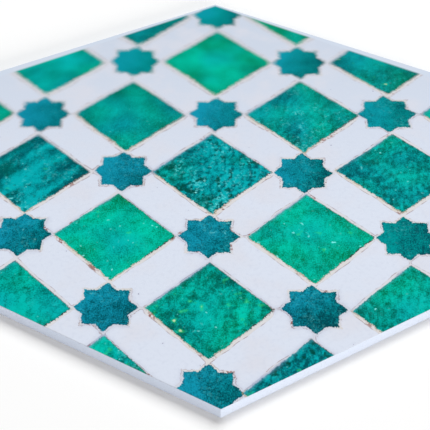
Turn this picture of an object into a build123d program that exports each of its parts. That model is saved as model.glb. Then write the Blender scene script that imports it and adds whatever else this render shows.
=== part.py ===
from build123d import *
import os

# Flat hexagonal tile, cut from one sheet of rigid plastic board.
# The back lies on Z = 0 with its centre at the origin, and the printed face looks up along +Z.
# Two corners point along Y, so one pair of edges stands square to X.

# Driving dimensions, in millimetres
across_flats = 216.5
thickness = 5.0
corner_radius = 0.5
edge_break = 0.2

# A hexagon with a corner on +Y
side_count = 6
corner_heading = 90.0

os.makedirs("parts", exist_ok=True)

# The board: a routed hexagon, its upright corners just rounded by the cutter
with BuildPart() as tile:
    with BuildSketch() as outline:
        RegularPolygon(across_flats / 2, side_count, major_radius=False, rotation=corner_heading)
        fillet(outline.vertices(), radius=corner_radius)
    extrude(amount=thickness)

    # The sharp edges of both faces are broken all the way round
    back_face = tile.faces().sort_by(Axis.Z)[0]
    printed_face = tile.faces().sort_by(Axis.Z)[-1]
    chamfer(back_face.edges() + printed_face.edges(), length=edge_break)

tile.part.label = "tile"
export_step(tile.part, "parts/tile.step")
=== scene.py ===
import math

import bpy
from mathutils import Matrix, Vector


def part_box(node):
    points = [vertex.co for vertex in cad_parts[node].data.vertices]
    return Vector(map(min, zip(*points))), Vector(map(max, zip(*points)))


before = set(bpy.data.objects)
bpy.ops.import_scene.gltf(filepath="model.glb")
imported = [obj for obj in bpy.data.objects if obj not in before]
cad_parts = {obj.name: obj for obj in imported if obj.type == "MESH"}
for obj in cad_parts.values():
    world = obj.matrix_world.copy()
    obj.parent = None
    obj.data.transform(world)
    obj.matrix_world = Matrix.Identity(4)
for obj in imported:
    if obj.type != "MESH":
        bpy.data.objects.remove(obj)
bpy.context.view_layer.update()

# The board
# One flat hexagon of white rigid plastic, routed out of a sheet with a foamed core.
# The faces are the sheet's own smooth skin, painted a little greyer than the core as painted shade,
# and the cut sides show the core's fine pores.
MM_PER_METRE = 1000.0
BOARD_THICKNESS = (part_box("tile")[1].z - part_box("tile")[0].z) * MM_PER_METRE
HALF_THICKNESS = BOARD_THICKNESS / 2
CORE_DEPTH = 0.25
SKIN_DEPTH = 0.1
PORE_SIZE = 0.45
PORE_RANGE = (0.6, 0.72)
PORE_WEIGHT = 0.5


class Shade:
    """A value on its way through a material's nodes. Arithmetic on it adds Math nodes."""

    def __init__(self, tree, socket):
        self.tree = tree
        self.socket = socket

    def node(self, kind, settings, sockets, output=0):
        """Adds a node, makes its settings, then fills its sockets with numbers or links."""
        new = self.tree.nodes.new(kind)
        for name, setting in settings.items():
            setattr(new, name, setting)
        for name, given in sockets.items():
            if isinstance(given, Shade):
                self.tree.links.new(given.socket, new.inputs[name])
            else:
                new.inputs[name].default_value = given
        return Shade(self.tree, new.outputs[output])

    def math(self, operation, *given):
        return self.node("ShaderNodeMath", {"operation": operation}, dict(enumerate(given)))

    def __add__(self, other):
        return self.math("ADD", self, other)

    def __radd__(self, other):
        return self.math("ADD", other, self)

    def __sub__(self, other):
        return self.math("SUBTRACT", self, other)

    def __rsub__(self, other):
        return self.math("SUBTRACT", other, self)

    def __mul__(self, other):
        return self.math("MULTIPLY", self, other)

    def __rmul__(self, other):
        return self.math("MULTIPLY", other, self)

    def __truediv__(self, other):
        return self.math("DIVIDE", self, other)

    def __neg__(self):
        return 0 - self

    def __abs__(self):
        return self.math("ABSOLUTE", self)

    def floor(self):
        return self.math("FLOOR", self)

    def least(self, other):
        return self.math("MINIMUM", self, other)

    def most(self, other):
        return self.math("MAXIMUM", self, other)

    def smooth_most(self, other, distance):
        """The larger of two values, rounded over where they are closer than the distance."""
        return self.math("SMOOTH_MAX", self, other, distance)

    def rise(self, low, high):
        """0 up to low, 1 from high on, and a smooth step between."""
        settings = {"interpolation_type": "SMOOTHSTEP"}
        return self.node("ShaderNodeMapRange", settings, {"Value": self, "From Min": low, "From Max": high})

    def between(self, low, high):
        """Low where this value is 0, high where it is 1."""
        return low + self * (high - low)

    def blend(self, under, over):
        """The colour under where this value is 0, and over where it is 1."""
        return self.node("ShaderNodeMix", {"data_type": "RGBA"}, {0: self, 6: under, 7: over}, 2)

    def parts(self):
        """The three numbers of a vector or a colour."""
        return [self.node("ShaderNodeSeparateXYZ", {}, {0: self}, axis) for axis in range(3)]

    def noise(self, size, detail=0.0, output=0):
        """Soft random blots about size millimetres across, 0.5 on the average."""
        sockets = {"Vector": self, "Scale": 1.0 / size, "Detail": detail}
        return self.node("ShaderNodeTexNoise", {"noise_dimensions": "3D"}, sockets, output)

    def ripple(self, size, detail=0.0):
        """The same blots, 0 on the average."""
        return self.noise(size, detail) - 0.5


def colour(red, green, blue):
    """A colour read off a screen in steps of 255, as the light it stands for."""
    steps = [step / 255.0 for step in (red, green, blue)]
    return (*(s / 12.92 if s <= 0.04045 else ((s + 0.055) / 1.055) ** 2.4 for s in steps), 1.0)


# Painted shade: the skin is the same white plastic as the core, given a greyer white so the faces look
# shaded
SHADED_SKIN_WHITE = colour(205, 215, 230)
CORE_WHITE = colour(211, 222, 240)
CORE_PORE = colour(186, 196, 214)

printed_board = bpy.data.materials.new("printed_board")
printed_board.use_nodes = True
board_tree = printed_board.node_tree
finish = board_tree.nodes["Principled BSDF"]
start = Shade(board_tree, None)

metres = start.node("ShaderNodeTexCoord", {}, {}, "Object")
scaling = {"Vector": metres, "Scale": MM_PER_METRE}
place = start.node("ShaderNodeVectorMath", {"operation": "SCALE"}, scaling)
right, away, height = place.parts()

from_middle = abs(height - HALF_THICKNESS)
cut_side = 1 - from_middle.rise(HALF_THICKNESS - CORE_DEPTH, HALF_THICKNESS - SKIN_DEPTH)
pores = place.noise(PORE_SIZE, detail=1.0).rise(*PORE_RANGE) * cut_side
# Painted shade: the faces take the greyer skin white, and the cut sides the core's white
board_colour = cut_side.blend(SHADED_SKIN_WHITE, CORE_WHITE)
board_colour = (pores * PORE_WEIGHT).blend(board_colour, CORE_PORE)

# The grid of the print
# The print shows a floor of hand-cut glazed pieces: squares on their points, stars at the
# crossings and white strips between. It was taken a little from one side, so the two sets of
# strips are not quite square to one another and the fields grow towards the far right.
NORTH_EAST_HEADING = math.radians(43.64)
NORTH_EAST_PITCH = 54.86
NORTH_WEST_HEADING = math.radians(134.58)
NORTH_WEST_PITCH = 53.74
GRID_RIGHT = -1.95
GRID_AWAY = -4.05
GROWTH_RIGHT = 0.000146
GROWTH_AWAY = 0.000186
HAND_WANDER = 1.0
WANDER_SIZE = 30.0

wander = place.noise(WANDER_SIZE, output=1)
laid = start.node(
    "ShaderNodeVectorMath",
    {"operation": "MULTIPLY_ADD"},
    {0: wander, 1: (HAND_WANDER,) * 3, 2: place},
)
laid_right, laid_away, _ = laid.parts()
from_centre_right = laid_right - (GRID_RIGHT + HAND_WANDER / 2)
from_centre_away = laid_away - (GRID_AWAY + HAND_WANDER / 2)
growth = 1 + right * GROWTH_RIGHT + away * GROWTH_AWAY


def along_grid(heading):
    """Millimetres from the middle of the grid, counted along one heading."""
    return (from_centre_right * math.cos(heading) + from_centre_away * math.sin(heading)) / growth


north_east = along_grid(NORTH_EAST_HEADING)
north_west = along_grid(NORTH_WEST_HEADING)

# The focus of the print
# The printed picture is sharp at the near side of the board and on its right, and goes soft
# towards the far corner. Outlines soften by the blur, in millimetres, and fine detail fades out.
NEAR_BLUR = 0.25
FAR_BLUR = 1.65
FOCUS_TILT = 0.3
FOCUS_START = -25.0
FOCUS_END = 110.0
DETAIL_END = 80.0
DETAIL_LEFT = 0.08

from_focus = away - right * FOCUS_TILT
out_of_focus = from_focus.rise(FOCUS_START, FOCUS_END)
blur = out_of_focus.between(NEAR_BLUR, FAR_BLUR)
sharpness = from_focus.rise(FOCUS_START, DETAIL_END).between(1.0, DETAIL_LEFT)

# The squares
# Clay squares, glazed and then cut by hand, so each is a little off its place, turned and chipped.
# The two lower sides are chipped the most. Far squares have rounder corners, out of focus.
SQUARE_HALF_SIDE = 17.4
SQUARE_SPREAD = 1.0
SQUARE_SLIP = 1.4
SQUARE_TWIST = 0.03
SQUARE_SETTLE = 0.3
SQUARE_CORNER = 1.0
FAR_CORNER = 4.0
SIDE_BAND = 3.0
FIRING_SEED = 14283.5
LAYING_SEED = 161738.0
GRAIN_STRETCH = (1.0, 0.72, 1.0)
GRAIN_SIZE = 0.5
GRAIN_DEPTH = 1.5
CHIP_SIZE = 2.4
CHIP_DEPTH = 1.5
WAVE_SIZE = 7.0
WAVE_DEPTH = 0.9
CHIPPED_ALL_ROUND = 0.5
CHIPPED_LOWER_RIGHT = 0.6
CHIPPED_LOWER_LEFT = 0.3


def cell(along, pitch, shift):
    """The number of the grid cell and the distance from its middle; shift 0.5 moves half a cell."""
    number = (along / pitch + (0.5 - shift)).floor() + shift
    return number, along - number * pitch


def luck(first, second, seed):
    """Three random values from 0 to 1, the same all over a cell."""
    address = start.node("ShaderNodeCombineXYZ", {}, {0: first, 1: second, 2: seed})
    return start.node("ShaderNodeTexWhiteNoise", {"noise_dimensions": "3D"}, {"Vector": address}, 1).parts()


def spread(draw, span):
    """A random value from 0 to 1, spread evenly over a span about 0."""
    return (draw - 0.5) * span


def turned(up, left, turn):
    """A place in its cell, turned by a small angle in radians."""
    return up + left * turn, left - up * turn


def inside(distance):
    """1 where the distance to an outline is below 0, as soft at the edge as the picture is there."""
    return 1 - (distance / blur).rise(-1.0, 1.0)


square_row, square_up = cell(north_east, NORTH_EAST_PITCH, 0.0)
square_column, square_left = cell(north_west, NORTH_WEST_PITCH, 0.0)
firing, square_twist, brushing = luck(square_row, square_column, FIRING_SEED)
slip_up, slip_left, square_size = luck(square_row, square_column, LAYING_SEED)
slid_up = square_up - spread(slip_up, SQUARE_SLIP)
slid_left = square_left + SQUARE_SETTLE - spread(slip_left, SQUARE_SLIP)
turned_up, turned_left = turned(slid_up, slid_left, spread(square_twist, SQUARE_TWIST))


def side(reach):
    """1 at one side of a square, falling to 0 over a band along it."""
    return reach.rise(SQUARE_HALF_SIDE - SIDE_BAND, SQUARE_HALF_SIDE)


north_west_side = side(turned_left)
south_east_side = side(-turned_left)
north_east_side = side(turned_up)
south_west_side = side(-turned_up)

grained = start.node("ShaderNodeVectorMath", {"operation": "MULTIPLY"}, {0: laid, 1: GRAIN_STRETCH})
grain = grained.ripple(GRAIN_SIZE, detail=1.0)
chips = laid.ripple(CHIP_SIZE, detail=1.0)
waves = laid.ripple(WAVE_SIZE)
chipping = chips * CHIP_DEPTH + waves * WAVE_DEPTH + grain * sharpness * GRAIN_DEPTH
chipped = CHIPPED_ALL_ROUND + south_east_side * CHIPPED_LOWER_RIGHT + south_west_side * CHIPPED_LOWER_LEFT
square_corner = out_of_focus.between(SQUARE_CORNER, FAR_CORNER)
square_reach = abs(turned_up).smooth_most(abs(turned_left), square_corner)
from_square = square_reach - (SQUARE_HALF_SIDE + spread(square_size, SQUARE_SPREAD))
to_square = from_square + chipping * chipped
square_mask = inside(to_square)

# The glaze of the squares
# Copper glaze, poured or brushed on and fired. It is mint where it lies even, and a dark and
# pebbled teal with pits in the hotter firings. Some squares are frosted with pale crystals, some
# keep their brush strokes, and thin places go yellow or show the bare clay.
MINT = colour(2, 200, 172)
EMERALD = colour(0, 112, 68)
LIGHT_TEAL = colour(6, 172, 178)
DARK_TEAL = colour(0, 84, 92)
PIT = colour(0, 70, 60)
FROST = colour(100, 226, 230)
SPARK = colour(140, 254, 254)
THIN_GLAZE = colour(50, 208, 112)
BARE_CLAY = colour(212, 226, 190)
HAZE = colour(88, 150, 176)
FROST_SEED = 615711.5
TEMPER_SEED = 179573.0
HEAVY_FIRING = (0.45, 1.0)
BRUSHED_RANGE = (0.86, 1.0)
MIDDLE_RANGE = (1.0, 13.0)

frostiness, _, thickness = luck(square_row, square_column, FROST_SEED)
temper, tint, _ = luck(square_row, square_column, TEMPER_SEED)
heavy = firing.rise(*HEAVY_FIRING)
brushed = brushing.rise(*BRUSHED_RANGE)
middle = (-to_square).rise(*MIDDLE_RANGE)

# Brush strokes run along one side of a square, and no two rows share them
STROKE_SIZE = 8.0
STROKE_SQUEEZE = 0.22
STROKE_ROW_STEP = 37.0
stroke_along = north_east * STROKE_SQUEEZE
stroke_row = square_row * STROKE_ROW_STEP
strokes = start.node("ShaderNodeCombineXYZ", {}, {0: stroke_along, 1: north_west, 2: stroke_row})
streaks = strokes.ripple(STROKE_SIZE, detail=1.0) * brushed

# Pebbles are lit from one side: the same blots, less themselves a step away
PEBBLE_SIZE = 2.7
PEBBLE_STEP = (-0.5, 0.4, 0.0)
PEBBLE_PATCH_SIZE = 8.0
PEBBLE_PATCH_RANGE = (0.36, 0.66)
PEBBLE_PATCH_WEIGHT = (0.4, 1.2)
PEBBLE_WEIGHT = 0.3
PEBBLE_FIRING = 1.2
PEBBLE_FROST = 0.7
PEBBLE_BRUSHED = (1.0, 0.4)
beside = start.node("ShaderNodeVectorMath", {"operation": "ADD"}, {0: grained, 1: PEBBLE_STEP})
pebbles = grained.noise(PEBBLE_SIZE, detail=1.0) - beside.noise(PEBBLE_SIZE, detail=1.0)
pebble_patch = place.noise(PEBBLE_PATCH_SIZE).rise(*PEBBLE_PATCH_RANGE).between(*PEBBLE_PATCH_WEIGHT)
pebbling = PEBBLE_WEIGHT + firing * PEBBLE_FIRING + frostiness * PEBBLE_FROST
pebbling = pebbling * brushed.between(*PEBBLE_BRUSHED) * pebble_patch

# The tone runs from dark to light
GLAZE_TONE = 0.602
TONE_RANGE = (-0.1, 1.1)
TEMPER_SPAN = 0.3
FIRING_TONE = 0.16
HEAVY_TONE = 0.1
FAR_TONE = 0.19
MIDDLE_TONE = 0.22
STREAK_TONE = 3.0
CLOUD_SIZE = 12.0
CLOUD_TONE = 1.1
CLOUD_LOST_TO_BRUSH = 0.6
CLOUD_LOST_FAR = 0.3
MOTTLE_SIZE = 2.6
MOTTLE_TONE = (0.5, 1.8)
GRAIN_TONE = 1.3
cloud = laid.ripple(CLOUD_SIZE, detail=1.0)
mottle = grained.ripple(MOTTLE_SIZE, detail=2.0)
tone = GLAZE_TONE + spread(temper, TEMPER_SPAN) + middle * MIDDLE_TONE + streaks * STREAK_TONE
tone = tone - firing * FIRING_TONE - heavy * HEAVY_TONE - out_of_focus * FAR_TONE
tone = tone + cloud * (CLOUD_TONE - brushed * CLOUD_LOST_TO_BRUSH - out_of_focus * CLOUD_LOST_FAR)
fine_tone = mottle * firing.between(*MOTTLE_TONE) + pebbles * pebbling + grain * GRAIN_TONE
tone = tone + fine_tone * sharpness

# The hue runs from green to blue
GLAZE_HUE = 0.1
TINT_SPAN = 0.6
FIRING_HUE = 0.6
HEAVY_HUE = 0.35
MIDDLE_HUE = 0.15
DRIFT_SIZE = 16.0
DRIFT_HUE = 1.4
hue = GLAZE_HUE + spread(tint, TINT_SPAN) + firing * FIRING_HUE + heavy * HEAVY_HUE
hue = hue + middle * MIDDLE_HUE + place.ripple(DRIFT_SIZE) * DRIFT_HUE
glaze = tone.rise(*TONE_RANGE).blend(hue.blend(EMERALD, DARK_TEAL), hue.blend(MINT, LIGHT_TEAL))

# Pits are shallow and broad, holes are small and round
PIT_SIZE = 3.4
PIT_RANGE = (0.56, 0.68)
PIT_WEIGHT = (0.08, 1.0)
HOLE_SIZE = 2.8
HOLE_RANGE = (0.7, 0.78)
HOLE_WEIGHT = (0.1, 0.85)
pits = grained.noise(PIT_SIZE, detail=2.0).rise(*PIT_RANGE) * sharpness
glaze = (pits * heavy.between(*PIT_WEIGHT)).blend(glaze, PIT)
holes = place.noise(HOLE_SIZE).rise(*HOLE_RANGE) * sharpness
glaze = (holes * heavy.between(*HOLE_WEIGHT)).blend(glaze, PIT)

# Frost lies in patches and in the lower corner, and the brightest crystals are sparks
LOWER_CORNER_RANGE = (16.0, 34.0)
LOWER_CORNER_FROST = 0.8
FROST_PATCH_SIZE = 6.0
FROST_PATCH_RANGE = (0.46, 0.66)
FROST_SIZE = 1.1
FROST_RANGE = (0.48, 0.78)
FROST_BRUSHED = (1.0, 0.5)
FROSTED_RANGE = (0.45, 0.95)
FROST_WEIGHT = (0.05, 0.77)
SPARK_SIZE = 1.8
SPARK_RANGE = (0.77, 0.83)
SPARK_PATCH = (0.15, 1.0)
SPARK_WEIGHT = (0.6, 0.9)
lower_corner = (-turned_up - turned_left).rise(*LOWER_CORNER_RANGE)
frost_patch = grained.noise(FROST_PATCH_SIZE, detail=1.0).rise(*FROST_PATCH_RANGE)
frost_patch = frost_patch.most(lower_corner * LOWER_CORNER_FROST)
frost = place.noise(FROST_SIZE, detail=1.0).rise(*FROST_RANGE) * frost_patch * sharpness
frost = frost * brushed.between(*FROST_BRUSHED)
glaze = (frost * frostiness.rise(*FROSTED_RANGE).between(*FROST_WEIGHT)).blend(glaze, FROST)
sparks = place.noise(SPARK_SIZE).rise(*SPARK_RANGE) * frost_patch.between(*SPARK_PATCH)
sparks = sparks * sharpness * sharpness
glaze = (sparks * frostiness.between(*SPARK_WEIGHT)).blend(glaze, SPARK)

# Thin glaze goes yellow, then bare, and the upper left side has a blue haze
THIN_SIZE = 4.2
EVEN_THICKNESS = 0.22
THICKNESS_WEIGHT = 0.28
THIN_RANGE = (0.68, 0.8)
THIN_WEIGHT = 0.5
BARE_RANGE = (0.775, 0.83)
BARE_WEIGHT = 0.8
HAZE_RAGGED = 1.5
HAZE_RANGE = (-1.6, 0.2)
HAZE_WEIGHT = 0.45
thinness = place.noise(THIN_SIZE, detail=1.0) + (EVEN_THICKNESS - thickness) * THICKNESS_WEIGHT
glaze = (thinness.rise(*THIN_RANGE) * sharpness * THIN_WEIGHT).blend(glaze, THIN_GLAZE)
glaze = (thinness.rise(*BARE_RANGE) * sharpness * BARE_WEIGHT).blend(glaze, BARE_CLAY)
haze = (to_square + chips * HAZE_RAGGED).rise(*HAZE_RANGE) * north_west_side
glaze = (haze * HAZE_WEIGHT).blend(glaze, HAZE)

# The stars
# Small eight-pointed stars at the crossings, each two squares laid over one another at 45 degrees.
# They are clay too, in a bluer and darker glaze that pools to one side, and are cut by hand.
STAR_HALF_SIDE = 8.75
STAR_SPREAD = 0.6
STAR_SLIP = 2.0
STAR_TWIST = 0.06
STAR_TIP = 2.6
STAR_CHIPPED = 0.8
STAR_LAYING_SEED = 360972.5
STAR_FIRING_SEED = 918953.5
ROOT_HALF = math.sqrt(0.5)

star_row, star_up = cell(north_east, NORTH_EAST_PITCH, 0.5)
star_column, star_left = cell(north_west, NORTH_WEST_PITCH, 0.5)
star_slip_up, star_slip_left, star_size = luck(star_row, star_column, STAR_LAYING_SEED)
star_firing, star_tint, star_twist = luck(star_row, star_column, STAR_FIRING_SEED)
star_slid_up = star_up - spread(star_slip_up, STAR_SLIP)
star_slid_left = star_left - spread(star_slip_left, STAR_SLIP)
turned_out, turned_side = turned(star_slid_up, star_slid_left, spread(star_twist, STAR_TWIST))
star_tip = blur * STAR_TIP
star_out = turned_out.smooth_most(-turned_out, star_tip)
star_side = turned_side.smooth_most(-turned_side, star_tip)
upright_square = abs(turned_out).smooth_most(abs(turned_side), star_tip)
star_reach = upright_square.least((star_out + star_side) * ROOT_HALF)
star_edge = STAR_HALF_SIDE + spread(star_size, STAR_SPREAD)
to_star = star_reach - star_edge + chipping * STAR_CHIPPED
star_mask = inside(to_star)

STAR_BLUE = colour(16, 148, 174)
STAR_GREEN = colour(0, 150, 150)
STAR_DARK = colour(0, 72, 82)
POOL_LEAN = 0.6
STAR_TONE = 0.54
STAR_TEMPER_SPAN = 0.3
STAR_FAR_TONE = 0.18
STAR_RIGHT_TONE = 0.0006
STAR_POOL_TONE = 0.02
STAR_CLOUD_TONE = 0.8
STAR_MOTTLE_TONE = 1.1
STAR_GRAIN_TONE = 1.6
STAR_HUE = 0.65
STAR_TINT_SPAN = 1.0
STAR_FAR_HUE = 0.3
STAR_RIGHT_HUE = 0.008
STAR_POOL_HUE = 0.03
STAR_CLOUD_HUE = 0.6
STAR_FROST_WEIGHT = 0.2
STAR_SPARK_WEIGHT = 0.25
pooling = star_slid_left - star_slid_up * POOL_LEAN
star_tone = STAR_TONE + spread(star_firing, STAR_TEMPER_SPAN) + out_of_focus * STAR_FAR_TONE
star_tone = star_tone - right * STAR_RIGHT_TONE + pooling * STAR_POOL_TONE + cloud * STAR_CLOUD_TONE
star_tone = star_tone + (mottle * STAR_MOTTLE_TONE + grain * STAR_GRAIN_TONE) * sharpness
star_hue = STAR_HUE + spread(star_tint, STAR_TINT_SPAN) - out_of_focus * STAR_FAR_HUE
star_hue = star_hue - right * STAR_RIGHT_HUE + pooling * STAR_POOL_HUE + cloud * STAR_CLOUD_HUE
star_glaze = star_tone.rise(*TONE_RANGE).blend(STAR_DARK, star_hue.blend(STAR_GREEN, STAR_BLUE))
star_glaze = (frost * STAR_FROST_WEIGHT).blend(star_glaze, FROST)
star_glaze = (sparks * STAR_SPARK_WEIGHT).blend(star_glaze, SPARK)

# The white strips
# Clay strips in a tin-white glaze between the squares, notched at both ends to take the stars.
# They are nearly even, with warmer clouds and the odd dark speck, and greyer towards the far corner.
NEAR_WHITE = colour(217, 224, 238)
FAR_WHITE = colour(201, 210, 225)
WARM_WHITE = colour(218, 218, 227)
SHADED_WHITE = colour(198, 205, 222)
SPECK = colour(96, 84, 124)
GREYING_RANGE = (-45.0, 110.0)
WARM_SIZE = 14.0
WARM_RANGE = (0.42, 0.75)
WARM_WEIGHT = 0.6
DULL_SIZE = 1.6
DULL_RANGE = (0.45, 0.75)
DULL_WEIGHT = 0.25
SPECK_SIZE = 1.6
SPECK_RANGE = (0.785, 0.825)
SPECK_WEIGHT = 0.8
strip_white = away.rise(*GREYING_RANGE).blend(NEAR_WHITE, FAR_WHITE)
warm = place.noise(WARM_SIZE, detail=3.0).rise(*WARM_RANGE)
strip_white = (warm * WARM_WEIGHT).blend(strip_white, WARM_WHITE)
dull = place.noise(DULL_SIZE, detail=3.0).rise(*DULL_RANGE) * sharpness
strip_white = (dull * DULL_WEIGHT).blend(strip_white, SHADED_WHITE)
specks = place.noise(SPECK_SIZE, detail=1.0).rise(*SPECK_RANGE) * sharpness
strip_white = (specks * SPECK_WEIGHT).blend(strip_white, SPECK)

# The grout
# Thin joints of pale mortar, pressed in between the chipped sides of the glazed pieces and the
# straight cut sides of the strips. They are wide below the squares, and above them only where the
# mortar has filled the joint. Red-brown stains sit in some of them.
LOWER_JOINT = 1.6
UPPER_JOINT = 0.5
FILLED_JOINT = 1.3
FAR_JOINT_GROWTH = 0.5
STAR_JOINT = 0.8
STRIP_JOINT = 0.5
STRIP_WAVE = 0.5
STRIP_GRAIN = 0.3
UNEVEN_SIZE = 9.0
UNEVEN_WEIGHT = (0.4, 1.6)
FILLED_SIZE = 24.0
FILLED_RANGE = (0.42, 0.58)
FAR_STRIP_BLUR = 1.8
STRIP_SOFTNESS = 0.8
unevenness = laid.noise(UNEVEN_SIZE, detail=1.0).between(*UNEVEN_WEIGHT)
upper_side = north_west_side.most(north_east_side)
filled = place.noise(FILLED_SIZE).rise(*FILLED_RANGE)
upper_joint = filled.most(out_of_focus).between(UPPER_JOINT, FILLED_JOINT)
square_joint = upper_side.between(LOWER_JOINT, upper_joint) + out_of_focus * FAR_JOINT_GROWTH
strip_cut = waves * STRIP_WAVE + grain * STRIP_GRAIN
to_strip_end = abs(abs(star_up) - abs(star_left)) * ROOT_HALF - unevenness * STRIP_JOINT
to_strip = from_square + strip_cut - unevenness * square_joint
to_strip = to_strip.least(to_star - unevenness * STAR_JOINT).least(to_strip_end)
strip_blur = blur * out_of_focus.between(1.0, FAR_STRIP_BLUR)
strip_mask = (to_strip / strip_blur).rise(-STRIP_SOFTNESS, STRIP_SOFTNESS)

CREAM = colour(213, 208, 201)
PALE_GROUT = colour(219, 218, 221)
LILAC_GROUT = colour(206, 210, 222)
FAR_GROUT = colour(201, 201, 206)
STAIN = colour(146, 92, 82)
MORTAR_SIZE = 6.0
MORTAR_RANGE = (0.4, 0.66)
CREAM_WEIGHT = (0.35, 1.0)
FILLED_WEIGHT = 0.7
FAR_GROUT_WEIGHT = 0.9
STAIN_SIZE = 7.0
STAIN_RANGE = (0.58, 0.67)
STAIN_GRAIN_SIZE = 0.9
STAIN_GRAIN_RANGE = (0.4, 0.6)
STAIN_WEIGHT = 0.9
creamy = place.noise(MORTAR_SIZE, detail=2.0).rise(*MORTAR_RANGE) * south_west_side.between(*CREAM_WEIGHT)
grout = upper_side.blend(creamy.blend(PALE_GROUT, CREAM), LILAC_GROUT)
grout = (upper_side * filled * FILLED_WEIGHT).blend(grout, PALE_GROUT)
grout = (out_of_focus * FAR_GROUT_WEIGHT).blend(grout, FAR_GROUT)
stains = laid.noise(STAIN_SIZE, detail=2.0).rise(*STAIN_RANGE)
stains = stains * place.noise(STAIN_GRAIN_SIZE).rise(*STAIN_GRAIN_RANGE) * sharpness
grout = (stains * STAIN_WEIGHT).blend(grout, STAIN)

# The pieces laid together
# Strips lie over the grout, and squares and stars over both. Dirt has settled along the joints in
# thin broken lines: brown along the strips, ochre under the squares and navy round the stars.
# The right sides of the squares have a dark rim, and the upper left ones a soft blue shade.
MAUVE = colour(150, 126, 132)
NAVY = colour(10, 56, 96)
OCHRE = colour(166, 146, 108)
RIM = colour(0, 42, 38)
SOFT_BLUE = colour(128, 152, 186)
BROKEN_SIZE = 3.2


def line(distance, width):
    """A thin line where the distance is 0, as soft as the picture is there."""
    return 1 - (abs(distance) / (blur + width)).rise(0.0, 1.0)


SHADED_RANGE = (-0.5, 2.0)
SHADED_WEIGHT = 0.6
shaded = (1 - to_strip.rise(*SHADED_RANGE)) * upper_side * (1 - filled) * (1 - out_of_focus)
strip_white = (shaded * SHADED_WEIGHT).blend(strip_white, SHADED_WHITE)
print_colour = strip_mask.blend(grout, strip_white)

DIRT_WIDTH = 0.05
DIRT_RANGE = (0.44, 0.66)
DIRT_BROKEN = (0.12, 1.0)
DIRT_SHARP = (0.05, 0.75)
broken = place.noise(BROKEN_SIZE, detail=1.0)
dirt_line = line(to_strip, DIRT_WIDTH) * broken.rise(*DIRT_RANGE).between(*DIRT_BROKEN)
print_colour = (dirt_line * sharpness.between(*DIRT_SHARP)).blend(print_colour, MAUVE)
print_colour = square_mask.blend(print_colour, glaze)
print_colour = star_mask.blend(print_colour, star_glaze)

STAR_RIM_INSET = 0.3
STAR_RIM_WIDTH = 0.1
STAR_RIM_RANGE = (0.45, 0.6)
STAR_RIM_WEIGHT = 0.5
star_rim = line(to_star + STAR_RIM_INSET, STAR_RIM_WIDTH) * broken.rise(*STAR_RIM_RANGE) * sharpness
print_colour = (star_rim * STAR_RIM_WEIGHT).blend(print_colour, NAVY)

UPPER_END_RANGE = (-14.0, 6.0)
LOWER_END = 1.2
OCHRE_OUTSET = 0.25
OCHRE_WIDTH = 0.1
OCHRE_RANGE = (0.5, 0.7)
OCHRE_WEIGHT = 0.7
upper_end = turned_up.rise(*UPPER_END_RANGE)
lower_side = south_west_side.most(south_east_side * (LOWER_END - upper_end))
ochre_line = line(to_square - OCHRE_OUTSET, OCHRE_WIDTH) * lower_side
ochre_line = ochre_line * (1 - broken.rise(*OCHRE_RANGE)) * sharpness
print_colour = (ochre_line * OCHRE_WEIGHT).blend(print_colour, OCHRE)

RIM_WIDTH = 0.2
RIM_CHIPS = (-0.15, 0.03)
RIM_UPPER_RIGHT = 0.5
rim = (south_east_side * upper_end).most(north_east_side * RIM_UPPER_RIGHT) * chips.rise(*RIM_CHIPS)
print_colour = (line(to_square, RIM_WIDTH) * rim * sharpness).blend(print_colour, RIM)

SOFT_OUTSET = 0.2
SOFT_WIDTH = 0.6
SOFT_SIZE = 11.0
SOFT_RANGE = (0.48, 0.62)
SOFT_WEIGHT = 0.5
soft_side = line(to_square - SOFT_OUTSET, SOFT_WIDTH) * north_west_side
soft_side = soft_side * place.noise(SOFT_SIZE).rise(*SOFT_RANGE) * sharpness
print_colour = (soft_side * SOFT_WEIGHT).blend(print_colour, SOFT_BLUE)

# The print on the board
# The ink covers the upper face up to its cut edges. It stops short of the two far edges and leaves
# a bare white strip there, narrow at the corner and wider towards the sides. The plastic is matt,
# a little smoother under the ink, with a very fine grain that is stronger on the cut sides.
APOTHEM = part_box("tile")[1].x * MM_PER_METRE
FAR_EDGE_SLOPE = math.radians(30.0)
BARE_STRIP = 1.3
BARE_STRIP_GROWTH = 0.028
INK_FADE = 0.9
INK_DEPTH = 0.05
to_far_edge = APOTHEM - abs(right) * math.sin(FAR_EDGE_SLOPE) - away * math.cos(FAR_EDGE_SLOPE)
inked = (to_far_edge - abs(right) * BARE_STRIP_GROWTH).rise(BARE_STRIP - INK_FADE, BARE_STRIP + INK_FADE)
inked = inked * height.rise(BOARD_THICKNESS - 2 * INK_DEPTH, BOARD_THICKNESS - INK_DEPTH)
surface = inked.blend(board_colour, print_colour)

MATT = 0.002
BOARD_ROUGHNESS = 0.5
INK_SMOOTHNESS = 0.08
SHEEN_SIZE = 1.4
SHEEN_SPAN = 0.12
SKIN_GRAIN_SIZE = 0.35
SKIN_GRAIN_WEIGHT = 0.3
RELIEF_STRENGTH = 0.15
RELIEF_HEIGHT = 0.00004
sheen = BOARD_ROUGHNESS - inked * INK_SMOOTHNESS + place.ripple(SHEEN_SIZE, detail=1.0) * SHEEN_SPAN
skin = place.noise(SKIN_GRAIN_SIZE, detail=1.0) * (SKIN_GRAIN_WEIGHT + cut_side)
relief = start.node(
    "ShaderNodeBump",
    {},
    {"Strength": RELIEF_STRENGTH, "Distance": RELIEF_HEIGHT, "Height": skin},
)
finish.inputs["Specular IOR Level"].default_value = MATT
board_tree.links.new(surface.socket, finish.inputs["Base Color"])
board_tree.links.new(sheen.socket, finish.inputs["Roughness"])
board_tree.links.new(relief.socket, finish.inputs["Normal"])
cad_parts["tile"].material_slots[0].material = printed_board

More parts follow.
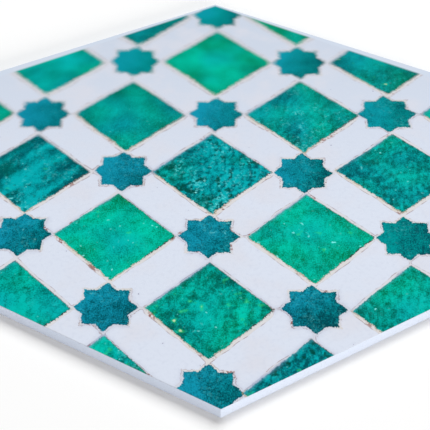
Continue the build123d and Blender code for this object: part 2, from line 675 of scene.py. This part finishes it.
# The floor
# A wide sheet of matt white paper that the tile lies on. It runs on past every view.
FLOOR_SIDE = 12.0
FLOOR_WHITE = (0.97, 0.97, 0.97, 1.0)
PAPER_ROUGHNESS = 0.9
bpy.ops.object.select_all(action="DESELECT")
bpy.ops.mesh.primitive_plane_add(size=FLOOR_SIDE, location=(0.0, 0.0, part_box("tile")[0].z))
floor = bpy.context.object
floor.name = "floor"
paper = bpy.data.materials.new("white_paper")
paper.use_nodes = True
paper_finish = paper.node_tree.nodes["Principled BSDF"]
paper_finish.inputs["Base Color"].default_value = FLOOR_WHITE
paper_finish.inputs["Roughness"].default_value = PAPER_ROUGHNESS
paper_finish.inputs["Specular IOR Level"].default_value = 0.0
floor.data.materials.append(paper)

# The light
# White studio walls all round, and one large soft lamp high behind the tile that shades its near sides.
# A long low lamp in front keeps the near right side bright. It is a little warm and the high one
# a little cool, so that level faces are lit neutrally.
WALL_LIGHT = 0.25
WALL_WHITE = (1.0, 1.0, 1.0, 1.0)
LAMP_DISTANCE = 4.0
studio = bpy.data.worlds.new("studio")
bpy.context.scene.world = studio
studio.use_nodes = True
walls = studio.node_tree.nodes["Background"]
seen = Shade(studio.node_tree, None).node("ShaderNodeLightPath", {}, {}, "Is Camera Ray")
light_path = seen.socket.node
mirrored = Shade(studio.node_tree, light_path.outputs["Is Glossy Ray"])
through = Shade(studio.node_tree, light_path.outputs["Is Transmission Ray"])
looked_at = seen.most(mirrored).most(through)
wall_level = WALL_LIGHT + (1.0 - WALL_LIGHT) * looked_at
walls.inputs["Color"].default_value = WALL_WHITE
studio.node_tree.links.new(wall_level.socket, walls.inputs["Strength"])


def soft_lamp(name, heading, elevation, width, tall, share, tint):
    """A lamp that faces the tile; share is the part it adds to the light on a level face."""
    bearing = math.radians(heading)
    climb = math.radians(elevation)
    flat = math.cos(climb)
    towards = Vector((math.cos(bearing) * flat, math.sin(bearing) * flat, math.sin(climb)))
    bpy.ops.object.light_add(type="AREA", location=towards * LAMP_DISTANCE)
    lamp = bpy.context.object
    lamp.name = name
    lamp.rotation_euler = towards.to_track_quat("Z", "Y").to_euler()
    lamp.data.color = tint
    lamp.data.shape = "RECTANGLE"
    lamp.data.size = width
    lamp.data.size_y = tall
    lamp.data.energy = share * math.pi**2 * LAMP_DISTANCE**2 / math.sin(climb)


soft_lamp(
    "key_lamp", heading=68.0, elevation=51.0, width=2.7, tall=2.7, share=0.751, tint=(0.969, 0.987, 1.0)
)
soft_lamp(
    "low_lamp", heading=-61.0, elevation=14.0, width=2.1, tall=1.0, share=0.162, tint=(1.0, 0.926, 0.861)
)

# The camera
# It looks down on the tile over its near corner, with the two side corners outside the picture.
PICTURE_SIDE = 430.0
SENSOR = 36.0
FOCAL_PIXELS = 1057.9
CAMERA_HEADING = math.radians(-0.93)
CAMERA_ELEVATION = math.radians(43.21)
CAMERA_ROLL = math.radians(0.71)
CAMERA_DISTANCE = 0.42133
CAMERA_CLIP = 0.01
AIM = Vector((-0.00128, -0.03043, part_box("tile")[1].z))
back = Vector(
    (
        math.sin(CAMERA_HEADING) * math.cos(CAMERA_ELEVATION),
        -math.cos(CAMERA_HEADING) * math.cos(CAMERA_ELEVATION),
        math.sin(CAMERA_ELEVATION),
    )
)
level_right = Vector((math.cos(CAMERA_HEADING), math.sin(CAMERA_HEADING), 0.0))
level_up = back.cross(level_right)
camera_right = level_right * math.cos(CAMERA_ROLL) + level_up * math.sin(CAMERA_ROLL)
camera_up = back.cross(camera_right)
bpy.ops.object.camera_add()
camera = bpy.context.object
camera.data.sensor_width = SENSOR
camera.data.lens = FOCAL_PIXELS / PICTURE_SIDE * SENSOR
camera.data.clip_start = CAMERA_CLIP
camera.matrix_world = Matrix.Translation(AIM + back * CAMERA_DISTANCE) @ Matrix(
    (camera_right, camera_up, back)
).transposed().to_4x4()
bpy.context.scene.camera = camera
bpy.context.scene.view_settings.view_transform = "Standard"
